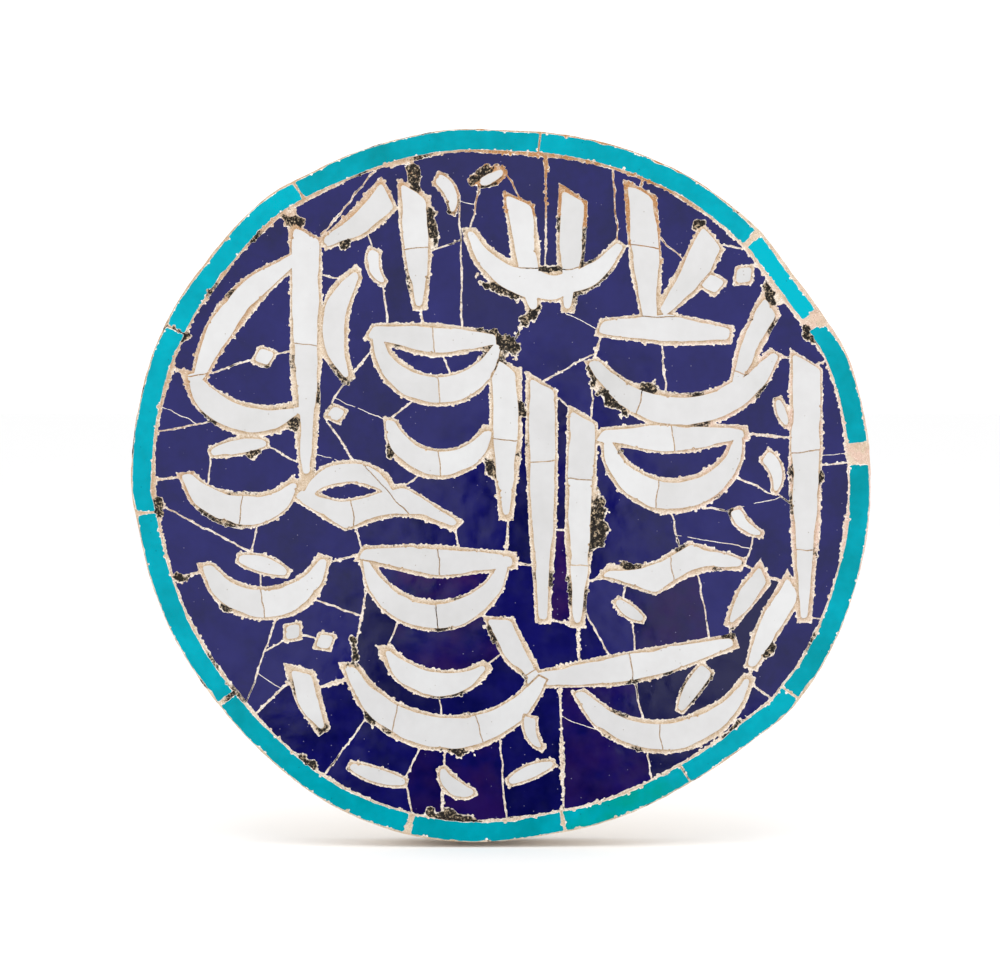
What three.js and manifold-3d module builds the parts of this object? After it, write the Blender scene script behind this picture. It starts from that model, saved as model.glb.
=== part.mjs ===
// Round wall panel of cut-tile mosaic: white, cobalt and turquoise glazed tiles set flush in a plaster
// bed. The white tiles are rows of broad pen strokes that spell nothing.
// Millimetres, +Z up. The panel stands in the XZ plane and its face looks along -Y. Its flat back
// lies on Y = 0, with the origin at the middle of the roundel.
import * as THREE from "three";
import { mergeVertices } from "three/addons/utils/BufferGeometryUtils.js";
import Module from "manifold-3d";

const wasm = await Module();
wasm.setup();

// Depths
const PANEL_DEPTH = 42;
const TILE_THICKNESS = 12;
const PLASTER_RECESS = 0.8;
const SET_GAP = 0.3;

// Radial build-up, from the outline inwards
const RIM = 1.6;
const BORDER_WIDTH = 14.6;
const BORDER_GROUT = 3.6;
const OUTLINE_STEP = 7.5;

// Joints inside the field
const STROKE_GROUT = 3.4;
const STROKE_JOINT = 1.6;
const SMALLEST_GROUND_TILE = 700;

// The hand-cut outline: [bearing in degrees from +X towards +Z, radius]
const OUTLINE = [
  [0, 300.4], [12, 301.6], [24, 301.9], [31, 297], [37, 295], [45, 297.5], [60, 297], [75, 294.3],
  [88, 292.5], [100, 296.3], [114, 299], [122, 301], [129, 305.3], [141, 303.3], [153, 304.7],
  [168, 302.6], [180, 300.4], [190, 295.3], [203, 292.6], [216, 289.4], [226, 289.6], [240, 292.2],
  [252, 292.2], [264, 289.8], [276, 284.4], [290, 284.4], [303, 284.2], [314, 289.3], [326, 298],
  [340, 298.9],
];

// Plaster joints between the border tiles: [bearing, width]
const BORDER_JOINTS = [
  [6.2, 19], [28.8, 12], [45.4, 5.5], [83.8, 1.4], [123.8, 2.5], [153.4, 2.2],
  [183.3, 3], [217, 3.5], [254.6, 6.5], [280.6, 2.5], [303.1, 1.8], [325.2, 2.2],
];

// Widths of the pen along a stroke, in nibs, at its start, middle and end. cut is the slant of its
// start.
const NIB = 18;
const BLADE = { widths: [1.1, 1.05, 0.35], cut: 0.6 };
const BOWL = { widths: [0.35, 1.15, 0.3], cut: 0.4 };
const LEAF = { widths: [0.45, 1.1, 0.4], cut: 0.4 };
const SLASH = { widths: [1.05, 0.95, 0.3], cut: 0.5 };
const TURN_PER_STEP = 20;

// White tiles, row by row: [pen, from, to, bend in degrees, weight, sway in degrees]
const STROKES = {
  row1_slash: [[SLASH, [-92, 240], [-142, 202], -30, 1.05]],
  row1_blade: [[BLADE, [-70, 243], [-66, 150]]],
  row1_basket: [
    [BOWL, [-26, 212], [96, 200], 130],
    [BLADE, [14, 236], [26, 148], 0, 0.95],
    [BLADE, [58, 240], [54, 148], 0, 0.95],
  ],
  row1_fan: [
    [BLADE, [112, 244], [122, 124], 0, 1.05],
    [SLASH, [170, 206], [130, 146], -20, 1.15],
    [LEAF, [80, 134], [184, 128], -10, 1.1],
  ],
  row2_sail: [
    [BLADE, [-158, 210], [-158, 14], 0, 1.05],
    [BOWL, [-166, 190], [-248, 88], 44, 0.95],
    [BOWL, [-252, 96], [-162, 68], 100, 1.05],
  ],
  row2_crescent: [[BOWL, [-116, 178], [-124, 92], 80, 0.95]],
  row2_lidded_bowl: [
    [LEAF, [-106, 130], [-4, 124], 14, 1.1],
    [BOWL, [-101, 128], [-3, 120], 160],
  ],
  row2_bowl: [
    [BOWL, [74, 106], [222, 112], 120, 1.15],
    [SLASH, [218, 152], [190, 88], 14, 0.85],
  ],
  row3_bowl: [[BOWL, [-256, 14], [-166, 8], 120, 1.1]],
  row3_blade_left: [[BLADE, [3, 104], [4, -20]]],
  row3_blade_middle: [[BLADE, [33, 88], [34, -104]]],
  row3_blade_right: [[BLADE, [66, 62], [62, -108]]],
  row3_eye: [
    [BOWL, [-172, 2], [-36, -26], 0, 1.15, 30],
    [LEAF, [-160, -4], [-88, -2], -110, 0.8],
  ],
  row3_inner_bowl: [[BOWL, [-90, 58], [-10, 50], 150, 0.95]],
  row3_lidded_bowl: [
    [LEAF, [80, 46], [198, 48], 10, 1.05],
    [BOWL, [86, 43], [193, 45], 165, 1.1],
  ],
  row3_blade_end: [[BLADE, [247, 106], [247, -104], 0, 1.1]],
  row4_bowl: [[BOWL, [-240, -60], [-144, -54], 140, 1.1]],
  row4_lidded_bowl: [
    [LEAF, [-114, -50], [10, -56], 12, 1.1],
    [BOWL, [-110, -56], [2, -60], 150],
  ],
  row4_wave: [[BOWL, [84, -66], [196, -58], 0, 1.1, 28]],
  row4_slash: [
    [SLASH, [238, -76], [204, -142], 12, 0.95],
    [SLASH, [214, -66], [186, -108], 12, 0.8],
  ],
  row5_bowl_left: [[BOWL, [-124, -142], [34, -152], 130, 1.2]],
  row5_inner_bowl: [[BOWL, [-94, -128], [-12, -142], 110, 0.9]],
  row5_slash: [[SLASH, [-164, -146], [-146, -194], 16, 0.95]],
  row5_lid: [
    [SLASH, [-2, -104], [30, -154], 20, 0.95],
    [LEAF, [22, -154], [190, -122], 14, 1.1],
  ],
  row5_bowl_right: [[BOWL, [64, -164], [202, -152], 125, 1.1]],
};

// Plaster joints that part the cobalt ground: [from, to, width]
const GROUND_JOINTS = [
  [[-158, 206], [-180, 262], 2.5],
  [[-70, 240], [-74, 292], 2.5],
  [[36, 196], [36, 296], 3.5],
  [[112, 240], [118, 290], 2],
  [[246, 100], [290, 118], 3],
  [[-246, 96], [-292, 106], 3],
  [[-250, 14], [-296, 8], 3],
  [[-238, -62], [-284, -78], 2.5],
  [[-164, -146], [-216, -196], 2.5],
  [[-150, -160], [-116, -150], 2.5],
  [[-46, -210], [-50, -292], 2.5],
  [[48, -160], [52, -290], 3],
  [[200, -154], [242, -184], 2.5],
  [[-66, 154], [-62, 128], 2.5],
  [[26, 152], [0, 104], 2.5],
  [[-122, 94], [-98, 124], 2.5],
  [[74, 104], [82, 132], 2.5],
  [[196, 48], [240, 44], 2.5],
  [[-38, -26], [-34, -50], 2.5],
  [[6, -18], [4, -52], 2.5],
  [[12, -58], [30, -60], 2.5],
  [[36, -104], [62, -108], 2.5],
  [[-112, -50], [-144, -58], 2.5],
  [[-122, -142], [-108, -66], 2.5],
  [[64, -74], [90, -68], 2.5],
  [[192, -56], [216, -68], 2.5],
  [[214, -68], [240, -76], 2.5],
  [[62, -106], [64, -146], 2.5],
  [[186, -106], [188, -124], 2.5],
  [[204, -140], [202, -156], 2.5],
];

const radians = THREE.MathUtils.degToRad;
const TILE_BASE = PANEL_DEPTH - TILE_THICKNESS;

function outlineRadius(bearing) {
  const count = OUTLINE.length;
  let i = count - 1;
  while (OUTLINE[i][0] > bearing) i -= 1;
  const [fromBearing, from] = OUTLINE[i];
  const [toBearing, to] = OUTLINE[(i + 1) % count];
  const t = (bearing - fromBearing) / (i === count - 1 ? 360 - fromBearing : toBearing - fromBearing);
  return THREE.MathUtils.lerp(from, to, t * t * (3 - 2 * t));
}

function ringPoints(inset) {
  const points = [];
  for (let bearing = 0; bearing < 360; bearing += OUTLINE_STEP) {
    const radius = outlineRadius(bearing) - inset;
    points.push(new THREE.Vector2(radius, 0).rotateAround(new THREE.Vector2(), radians(bearing)));
  }
  return points;
}

// The outline of one stroke, spread by grow on every side
function strokePoints([pen, from, to, bend = 0, weight = 1, sway = 0], grow) {
  const start = new THREE.Vector2(...from);
  const chord = new THREE.Vector2(...to).sub(start);
  const steps = Math.max(2, Math.ceil((Math.abs(bend) + 2 * Math.abs(sway)) / TURN_PER_STEP));
  const turnAt = (t) => radians(bend * (t - 0.5) + sway * Math.cos(Math.PI * (2 * t - 1)));
  const origin = new THREE.Vector2();
  const fine = 6;
  const spine = [origin.clone()];
  for (let i = 0; i < steps * fine; i += 1) {
    const ahead = new THREE.Vector2(1, 0).rotateAround(origin, turnAt((i + 0.5) / (steps * fine)));
    spine.push(ahead.add(spine[i]));
  }
  const scale = chord.length() / spine[steps * fine].length();
  const swing = chord.angle() - spine[steps * fine].angle();
  const [first, middle, last] = pen.widths.map((width) => (width * weight * NIB) / 2);
  const left = [];
  const right = [];
  for (let i = 0; i <= steps; i += 1) {
    const t = i / steps;
    const ends = first * (1 - t) * (1 - 2 * t) + last * t * (2 * t - 1);
    const half = ends + 4 * middle * t * (1 - t) + grow;
    const forward = new THREE.Vector2(1, 0).rotateAround(origin, turnAt(t) + swing);
    const side = new THREE.Vector2(-forward.y, forward.x);
    const at = spine[i * fine].clone().multiplyScalar(scale).rotateAround(origin, swing).add(start);
    if (i === 0) at.addScaledVector(forward, -grow);
    if (i === steps) at.addScaledVector(forward, grow);
    const slant = i === 0 ? pen.cut * half : 0;
    left.push(at.clone().addScaledVector(side, half).addScaledVector(forward, slant));
    right.push(at.clone().addScaledVector(side, -half).addScaledVector(forward, -slant));
  }
  return [...right, ...left.reverse()];
}

function slabPoints(from, to, width) {
  const start = new THREE.Vector2(...from);
  const end = new THREE.Vector2(...to);
  const side = end.clone().sub(start).normalize().rotateAround(new THREE.Vector2(), Math.PI / 2);
  side.multiplyScalar(width / 2);
  const oneSide = [start.clone().sub(side), end.clone().sub(side)];
  return [...oneSide, end.clone().add(side), start.clone().add(side)];
}

function prism(points, from = TILE_BASE, to = PANEL_DEPTH) {
  const settings = { depth: to - from, bevelEnabled: false };
  const geometry = new THREE.ExtrudeGeometry(new THREE.Shape(points), settings);
  geometry.translate(0, 0, from);
  geometry.deleteAttribute("normal");
  geometry.deleteAttribute("uv");
  const welded = mergeVertices(geometry, 1e-4);
  return new wasm.Manifold(new wasm.Mesh({
    numProp: 3,
    vertProperties: new Float32Array(welded.attributes.position.array),
    triVerts: new Uint32Array(welded.index.array),
  }));
}

const joinAll = (solids) => solids.reduce((whole, solid) => whole.add(solid));

// Each set of tiles is made twice: as the tiles, and spread by the setting gap and deepened by it
// as the pockets the tiles sit in.
function setSolids(spread) {
  const base = TILE_BASE - spread;
  const block = (points) => prism(points, base, PANEL_DEPTH + spread);
  const cutter = (points) => prism(points, base - 1, PANEL_DEPTH + spread + 1);

  const field = block(ringPoints(RIM + BORDER_WIDTH + BORDER_GROUT - spread));
  const borderJoints = BORDER_JOINTS.map(([bearing, width]) => {
    const ahead = new THREE.Vector2(1, 0).rotateAround(new THREE.Vector2(), radians(bearing));
    const from = ahead.clone().multiplyScalar(200);
    return cutter(slabPoints(from, from.clone().multiplyScalar(2), width - 2 * spread));
  });
  const border = block(ringPoints(RIM - spread))
    .subtract(cutter(ringPoints(RIM + BORDER_WIDTH + spread)))
    .subtract(joinAll(borderJoints))
    .decompose();

  const strokes = {};
  let taken = null;
  for (const [name, parts] of Object.entries(STROKES)) {
    const whole = joinAll(parts.map((part) => block(strokePoints(part, spread)))).intersect(field);
    strokes[name] = taken ? whole.subtract(taken) : whole;
    const kept = joinAll(parts.map((part) => cutter(strokePoints(part, STROKE_JOINT - spread))));
    taken = taken ? taken.add(kept) : kept;
  }

  const spreadStrokes = Object.values(STROKES).flat()
    .map((part) => cutter(strokePoints(part, STROKE_GROUT - spread)));
  const groundJoints = GROUND_JOINTS
    .map(([from, to, width]) => cutter(slabPoints(from, to, width - 2 * spread)));
  const ground = field.subtract(joinAll([...spreadStrokes, ...groundJoints])).decompose();
  return { border, strokes, ground };
}

const tiles = setSolids(0);
const pockets = setSolids(SET_GAP);
const groundTiles = tiles.ground
  .filter((tile) => tile.volume() > SMALLEST_GROUND_TILE * TILE_THICKNESS)
  .sort((a, b) => b.boundingBox().max[1] - a.boundingBox().max[1]);
const groundPockets = pockets.ground
  .filter((pocket) => groundTiles.some((tile) => tile.intersect(pocket).volume() > 1));

const bed = prism(ringPoints(0), 0, PANEL_DEPTH - PLASTER_RECESS)
  .subtract(joinAll([...pockets.border, ...Object.values(pockets.strokes), ...groundPockets]));

const PLASTER = new THREE.MeshStandardMaterial({ color: 0xd7c9bb, roughness: 0.95 });
const TURQUOISE = new THREE.MeshStandardMaterial({ color: 0x04a4b4, roughness: 0.2 });
const COBALT = new THREE.MeshStandardMaterial({ color: 0x1c1c60, roughness: 0.15 });
const WHITE = new THREE.MeshStandardMaterial({ color: 0xe7e6e5, roughness: 0.25 });

const group = new THREE.Group();
group.name = "calligraphic_mosaic_tile";

function addPiece(name, solid, material) {
  const { numProp, vertProperties, triVerts } = solid.getMesh();
  const positions = [];
  for (const vertex of triVerts) {
    const at = vertex * numProp;
    positions.push(vertProperties[at], vertProperties[at + 1], vertProperties[at + 2]);
  }
  const geometry = new THREE.BufferGeometry();
  geometry.setAttribute("position", new THREE.Float32BufferAttribute(positions, 3));
  // Stand the panel up: its face turns to -Y
  geometry.rotateX(Math.PI / 2);
  geometry.computeVertexNormals();
  const mesh = new THREE.Mesh(geometry, material);
  mesh.name = name;
  group.add(mesh);
}

const numbered = (stem, i) => `${stem}_${String(i + 1).padStart(2, "0")}`;
addPiece("plaster_bed", bed, PLASTER);
tiles.border.forEach((tile, i) => addPiece(numbered("border_tile", i), tile, TURQUOISE));
groundTiles.forEach((tile, i) => addPiece(numbered("ground_tile", i), tile, COBALT));
for (const [name, solid] of Object.entries(tiles.strokes)) {
  const parts = solid.decompose().filter((part) => part.volume() > 1);
  parts.forEach((part, i) => addPiece(parts.length > 1 ? numbered(name, i) : name, part, WHITE));
}

export default group;
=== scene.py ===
import math

import bpy
import numpy as np
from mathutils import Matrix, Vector
from mathutils.geometry import delaunay_2d_cdt


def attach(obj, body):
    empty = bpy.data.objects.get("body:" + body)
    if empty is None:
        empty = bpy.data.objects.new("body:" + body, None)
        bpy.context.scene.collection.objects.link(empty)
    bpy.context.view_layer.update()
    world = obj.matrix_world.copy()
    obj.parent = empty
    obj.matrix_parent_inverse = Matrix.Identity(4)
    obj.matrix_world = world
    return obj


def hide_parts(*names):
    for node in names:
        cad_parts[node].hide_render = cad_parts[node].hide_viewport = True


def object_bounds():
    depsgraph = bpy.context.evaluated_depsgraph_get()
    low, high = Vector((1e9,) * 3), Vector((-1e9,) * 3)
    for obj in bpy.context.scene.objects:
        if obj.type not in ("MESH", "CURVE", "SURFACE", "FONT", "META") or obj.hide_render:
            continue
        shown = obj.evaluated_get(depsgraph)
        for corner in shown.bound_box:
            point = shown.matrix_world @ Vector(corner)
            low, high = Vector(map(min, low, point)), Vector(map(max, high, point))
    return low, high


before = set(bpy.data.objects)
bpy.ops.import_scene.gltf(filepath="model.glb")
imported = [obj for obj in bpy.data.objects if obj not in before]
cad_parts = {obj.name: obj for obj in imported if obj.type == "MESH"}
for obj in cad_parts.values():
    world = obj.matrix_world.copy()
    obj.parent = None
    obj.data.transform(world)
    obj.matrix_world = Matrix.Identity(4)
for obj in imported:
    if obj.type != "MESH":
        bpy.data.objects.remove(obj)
CAD_LOW, CAD_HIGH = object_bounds()

# Everything is worked out in millimetres on the tile face: x to the right, z up, and depth from the
# glaze back into the plaster. A depth of 0 is the face of the tiles, at y = -FACE.
FACE = 42.0
TILE_DEPTH = 12.0
# A solid's corner is on a flat face when it is this near to it
FLATNESS = 0.05

# The face is sampled at this pitch, and distances are worked out up to BAND
PITCH = 0.5
BAND = 6.0
X0, X1 = -303.0, 303.0
Z0, Z1 = -292.0, 296.0
NX = int((X1 - X0) / PITCH) + 1
NZ = int((Z1 - Z0) / PITCH) + 1
XS = X0 + PITCH * np.arange(NX)
ZS = Z0 + PITCH * np.arange(NZ)
GX, GZ = np.meshgrid(XS, ZS)

BORDER, GROUND, STROKE = 0, 1, 2


# Smooth random fields

CELLS = 256


def lattice_noise(seed, x, z, size):
    """Smooth noise from -1 to 1 whose bumps are about size millimetres across."""
    rng = np.random.default_rng(seed)
    grid = rng.uniform(-1, 1, (CELLS, CELLS))
    # Each seed turns the lattice its own way
    turn = 1.9 * seed
    c, s = math.cos(turn), math.sin(turn)
    u, v = (c * x - s * z) / size, (s * x + c * z) / size
    i, j = np.floor(u).astype(int), np.floor(v).astype(int)
    fu, fv = u - i, v - j
    fu, fv = fu * fu * (3 - 2 * fu), fv * fv * (3 - 2 * fv)
    i0, i1, j0, j1 = i % CELLS, (i + 1) % CELLS, j % CELLS, (j + 1) % CELLS
    low = grid[j0, i0] * (1 - fu) + grid[j0, i1] * fu
    high = grid[j1, i0] * (1 - fu) + grid[j1, i1] * fu
    return low * (1 - fv) + high * fv


def layered_noise(seed, x, z, size, layers=3):
    """Noise with layers on top that are each half as large and half as strong."""
    total = 0
    for k in range(layers):
        total = total + lattice_noise(seed + k, x, z, size / 2**k) * 0.5**k
    return total


def blurred(field, sigma):
    """A field softened over sigma millimetres."""
    reach = int(3 * sigma / PITCH) + 1
    weights = np.exp(-0.5 * (np.arange(-reach, reach + 1) * PITCH / sigma) ** 2)
    weights /= weights.sum()
    for axis in (0, 1):
        padded = np.pad(field, [(reach, reach) if a == axis else (0, 0) for a in (0, 1)], mode="edge")
        moved = [np.take(padded, np.arange(k, k + field.shape[axis]), axis) for k in range(2 * reach + 1)]
        field = sum(w * m for w, m in zip(weights, moved))
    return field


# Outlines of the solid tiles


def outline_loops(node, nearest, farthest):
    """The outlines of a solid's faces that lie between two values of y, as loops of (x, z).

    Seen from outside the solid, each face is on the left of its loops.
    """
    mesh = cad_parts[node].data
    places = np.array([v.co for v in mesh.vertices]) * 1000
    on_face = (places[:, 1] >= nearest) & (places[:, 1] <= farthest)
    name = [(round(p[0], 2), round(p[2], 2)) for p in places]
    edges = set()
    for poly in mesh.polygons:
        if all(on_face[v] for v in poly.vertices):
            ring = [name[v] for v in poly.vertices]
            for edge in zip(ring, ring[1:] + ring[:1]):
                if edge[::-1] in edges:
                    edges.remove(edge[::-1])
                else:
                    edges.add(edge)
    following = dict(edges)
    loops = []
    while following:
        loop, at = [], min(following)
        while at in following:
            loop.append(at)
            at = following.pop(at)
        loops.append(np.array(loop))
    return loops


def softened(loop, corner=38, step=1.5):
    """The loop as a smooth line through its points, sharp only where it turns by over corner degrees."""
    n = len(loop)
    ahead = np.roll(loop, -1, 0) - loop
    behind = np.roll(ahead, 1, 0)
    turn = np.arctan2(behind[:, 0] * ahead[:, 1] - behind[:, 1] * ahead[:, 0], (ahead * behind).sum(1))
    sharp = np.abs(np.degrees(turn)) > corner
    out = []
    for i in range(n):
        p1, p2 = loop[i], loop[(i + 1) % n]
        p0 = loop[i - 1] if not sharp[i] else 2 * p1 - p2
        p3 = loop[(i + 2) % n] if not sharp[(i + 1) % n] else 2 * p2 - p1
        t01, t12, t23 = (max(np.linalg.norm(b - a), 1e-3) ** 0.5 for a, b in ((p0, p1), (p1, p2), (p2, p3)))
        m1 = t12 * ((p1 - p0) / t01 - (p2 - p0) / (t01 + t12) + (p2 - p1) / t12)
        m2 = t12 * ((p2 - p1) / t12 - (p3 - p1) / (t12 + t23) + (p3 - p2) / t23)
        count = max(1, int(np.linalg.norm(p2 - p1) / step))
        t = (np.arange(count) / count)[:, None]
        out.append(
            (2 * t**3 - 3 * t**2 + 1) * p1
            + (t**3 - 2 * t**2 + t) * m1
            + (-2 * t**3 + 3 * t**2) * p2
            + (t**3 - t**2) * m2
        )
    return np.concatenate(out)


# Fields on the face


def segment_distance(px, pz, a, b):
    """How far points are from the line between a and b."""
    d = b - a
    t = np.clip(((px - a[0]) * d[0] + (pz - a[1]) * d[1]) / max(d @ d, 1e-12), 0, 1)
    return np.hypot(px - a[0] - t * d[0], pz - a[1] - t * d[1])


def window(low, high, margin):
    """The rows and columns of the grid from low to high and a margin round them."""
    parts = []
    for axis, start, count in ((1, Z0, NZ), (0, X0, NX)):
        first = max(0, int((low[axis] - margin - start) / PITCH))
        last = min(count, int((high[axis] + margin - start) / PITCH) + 2)
        parts.append(slice(first, last))
    return tuple(parts)


def inside_loops(loops):
    """True on the grid points inside the loops, by counting crossings along each row."""
    crossings = np.zeros((NZ, NX + 1), np.int32)
    for loop in loops:
        for a, b in zip(loop, np.roll(loop, -1, 0)):
            if a[1] > b[1]:
                a, b = b, a
            j0 = max(0, math.ceil((a[1] - Z0) / PITCH - 1e-9))
            j1 = min(NZ, math.ceil((b[1] - Z0) / PITCH - 1e-9))
            if j1 <= j0:
                continue
            rows = np.arange(j0, j1)
            x = a[0] + (b[0] - a[0]) * (ZS[rows] - a[1]) / (b[1] - a[1])
            cols = np.clip(np.ceil((x - X0) / PITCH).astype(int), 0, NX)
            np.add.at(crossings, (rows, cols), 1)
    return np.cumsum(crossings, 1)[:, :NX] % 2 == 1


def outline_distance(loops):
    """A window round the loops, and how far its points are from them, up to BAND."""
    spots = np.concatenate(loops)
    rows, cols = window(spots.min(0), spots.max(0), BAND)
    away = np.full((rows.stop - rows.start, cols.stop - cols.start), BAND)
    for loop in loops:
        for a, b in zip(loop, np.roll(loop, -1, 0)):
            w = window(np.minimum(a, b), np.maximum(a, b), BAND)
            near = tuple(
                slice(part.start - whole.start, part.stop - whole.start)
                for part, whole in zip(w, (rows, cols))
            )
            away[near] = np.minimum(away[near], segment_distance(GX[w], GZ[w], a, b))
    return (rows, cols), away


def at_grid(field, x, z):
    """The field's values at points of the face."""
    u = np.clip((x - X0) / PITCH, 0, NX - 1.001)
    v = np.clip((z - Z0) / PITCH, 0, NZ - 1.001)
    i, j = u.astype(int), v.astype(int)
    fu, fv = u - i, v - j
    low = field[j, i] * (1 - fu) + field[j, i + 1] * fu
    high = field[j + 1, i] * (1 - fu) + field[j + 1, i + 1] * fu
    return low * (1 - fv) + high * fv


def pen_stroke(start, end, bend, widths, steps=9):
    """The outline of a small pen mark from start to end that turns bend degrees on its way.

    The widths are those at its start, its middle and its end.
    """
    start, end = np.array(start, float), np.array(end, float)
    t = np.linspace(0, 1, steps)
    heading = np.radians(bend) * (t - 0.5)
    middle = (heading[1:] + heading[:-1]) / 2
    spine = np.concatenate([[[0, 0]], np.cumsum(np.c_[np.cos(middle), np.sin(middle)], 0)])
    swing = math.atan2(*(end - start)[::-1]) - math.atan2(*spine[-1][::-1])
    scale = np.linalg.norm(end - start) / np.linalg.norm(spine[-1])
    c, s = math.cos(swing), math.sin(swing)
    spine = spine @ np.array([[c, s], [-s, c]]) * scale + start
    heading = heading + swing
    side = np.c_[-np.sin(heading), np.cos(heading)]
    first, mid, last = widths
    half = (first * (1 - t) * (1 - 2 * t) + 4 * mid * t * (1 - t) + last * t * (2 * t - 1))[:, None] / 2
    return np.concatenate([spine - side * half, (spine + side * half)[::-1]])


def lozenge(x, z, size, turn):
    """The outline of a slightly long lozenge, turned by some degrees."""
    angles = np.radians(turn + np.array([0, 90, 180, 270]))
    reach = size * np.array([0.62, 0.5, 0.62, 0.5])
    return np.c_[x + reach * np.cos(angles), z + reach * np.sin(angles)]


# The pattern: joints that the solids leave out, and the small inlays

# Joints that part a white stroke or a cobalt tile: x, z to x, z
STROKE_JOINT, GROUND_JOINT = 0.75, 1.0
LONGEST_RUN = 90
STROKE_SPLITS = [
    (6, 183, 36, 181), (44, 180, 74, 183), (-14, 186, 6, 206), (104, 142, 134, 142),
    (102, 200, 132, 197), (-169, 84, -169, 54), (-262, 93, -238, 97), (-176, 122, -144, 118),
    (-56, 144, -55, 114), (-52, 94, -50, 64), (184, 100, 206, 92), (118, 92, 108, 60),
    (-214, -36, -209, 2), (-12, 44, 18, 42), (18, 24, 48, 27), (50, 12, 80, 10), (50, -58, 80, -61),
    (-100, 10, -84, -8), (-122, -8, -118, -40), (-52, 38, -48, 8), (138, 60, 140, 34),
    (128, 10, 124, -20), (232, 32, 262, 35), (232, -48, 262, -46), (-196, -80, -192, -114),
    (-52, -38, -50, -70), (-54, -82, -52, -112), (136, -42, 142, -80), (-84, -172, -92, -206),
    (-22, -178, -14, -212), (16, -152, 36, -140), (104, -120, 108, -156), (128, -180, 132, -214),
    (-82, 196, -54, 199),
]
GROUND_SPLITS = [
    (-32, 136, -34, 270), (92, 236, 90, 268), (84, 206, 110, 198), (-56, 196, -26, 206),
    (-112, 214, -82, 226), (-150, 178, -118, 170), (178, 200, 208, 196), (184, 132, 204, 124),
    (216, 148, 240, 158), (222, 112, 244, 106), (128, 206, 152, 184), (-210, 156, -246, 190),
    (72, 58, 76, 100), (16, 92, 26, 88), (46, 76, 60, 66), (-92, 58, -64, 82), (-52, 24, -84, 2),
    (-122, 96, -148, 56), (254, 22, 282, 24), (246, -102, 268, -104), (-256, 54, -290, 48),
    (-206, 62, -200, 18), (138, -16, 146, -50), (192, 12, 236, -8), (-198, -22, -206, -66),
    (-184, -104, -200, -150), (120, -212, 124, -240), (204, -192, 216, -206), (-94, -128, -84, -106),
    (-14, -142, 6, -128), (-112, -188, -148, -236), (0, -212, 4, -264), (40, -30, 58, -32),
    (-266, -16, -232, -34), (74, -108, 92, -140), (160, -66, 172, -128), (-46, 110, -42, 98),
    (-150, -88, -112, -102), (236, 66, 228, 40), (-66, -208, -82, -240), (84, 268, 60, 276),
    (-110, 250, -100, 262), (36, 196, 36, 176), (110, -156, 114, -180), (-118, -28, -114, -46),
    (-196, -64, -196, -80), (130, 118, 134, 84), (80, 116, 44, 96), (222, 0, 240, -12),
    (206, -34, 200, -54), (150, -10, 190, -16), (-140, 58, -120, 26), (106, -106, 110, -132),
    (100, -84, 104, -70), (-236, 28, -238, 4), (-192, 38, -168, 26), (-184, 112, -168, 114),
    (-200, 108, -232, 98), (-96, 168, -92, 138), (-104, 198, -108, 212), (-78, -240, -74, -262),
    (-150, -120, -164, -116), (-174, -118, -186, -126), (-50, -168, -48, -186), (4, 256, 14, 240),
    (-18, 246, -24, 216),
]
# Small inlays, and the plaster round them
SMALL_GROUT = 1.5
SMALL_STROKES = {
    "inlay_dash_bottom_left": pen_stroke((-124, -224), (-78, -238), 14, (5, 12, 5)),
    "inlay_dash_bottom_right": pen_stroke((6, -238), (43, -222), -12, (5, 11, 4)),
    "inlay_hook_bottom": pen_stroke((-48, -226), (-22, -246), 90, (4, 13, 4)),
    "inlay_hook_low": pen_stroke((24, -184), (34, -210), 70, (10, 9, 3)),
    "inlay_leaf_in_bowl": pen_stroke((168, -144), (146, -179), 16, (12, 13, 5)),
    "inlay_leaf_left": pen_stroke((-236, 32), (-190, 40), -14, (5, 12, 5)),
    "inlay_leaf_row4": pen_stroke((-214, -54), (-174, -66), -12, (6, 13, 5)),
    "inlay_hook_top": pen_stroke((-52, 254), (-40, 226), -80, (9, 10, 3)),
    "inlay_dash_top": pen_stroke((-18, 250), (2, 260), 20, (5, 9, 4)),
    "inlay_hook_right": pen_stroke((214, 30), (222, 0), -80, (11, 10, 3)),
    "inlay_lozenge_sail": lozenge(-192, 110, 16, 20),
    "inlay_lozenge_top_right": lozenge(171, 169, 17, 10),
    "inlay_lozenge_right": lozenge(196, 176, 16, 45),
    "inlay_lozenge_middle": lozenge(-134, 64, 14, 15),
    "inlay_lozenge_low_left": lozenge(-144, -122, 15, 30),
    "inlay_lozenge_low_left_2": lozenge(-170, -114, 15, 50),
    "inlay_dash_low_right": pen_stroke((94, -88), (116, -104), 20, (5, 10, 4)),
    "inlay_hook_centre_right": pen_stroke((190, -14), (212, -34), 60, (9, 9, 3)),
    "inlay_hook_row1": pen_stroke((-102, 196), (-94, 170), 80, (9, 9, 3)),
    "inlay_dash_right": pen_stroke((224, 76), (232, 54), 10, (4, 8, 3)),
}
SMALL_GROUND = {
    "ground_tile_in_eye": pen_stroke((-154, 0), (-92, 0), -40, (14, 22, 14)),
}
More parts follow.
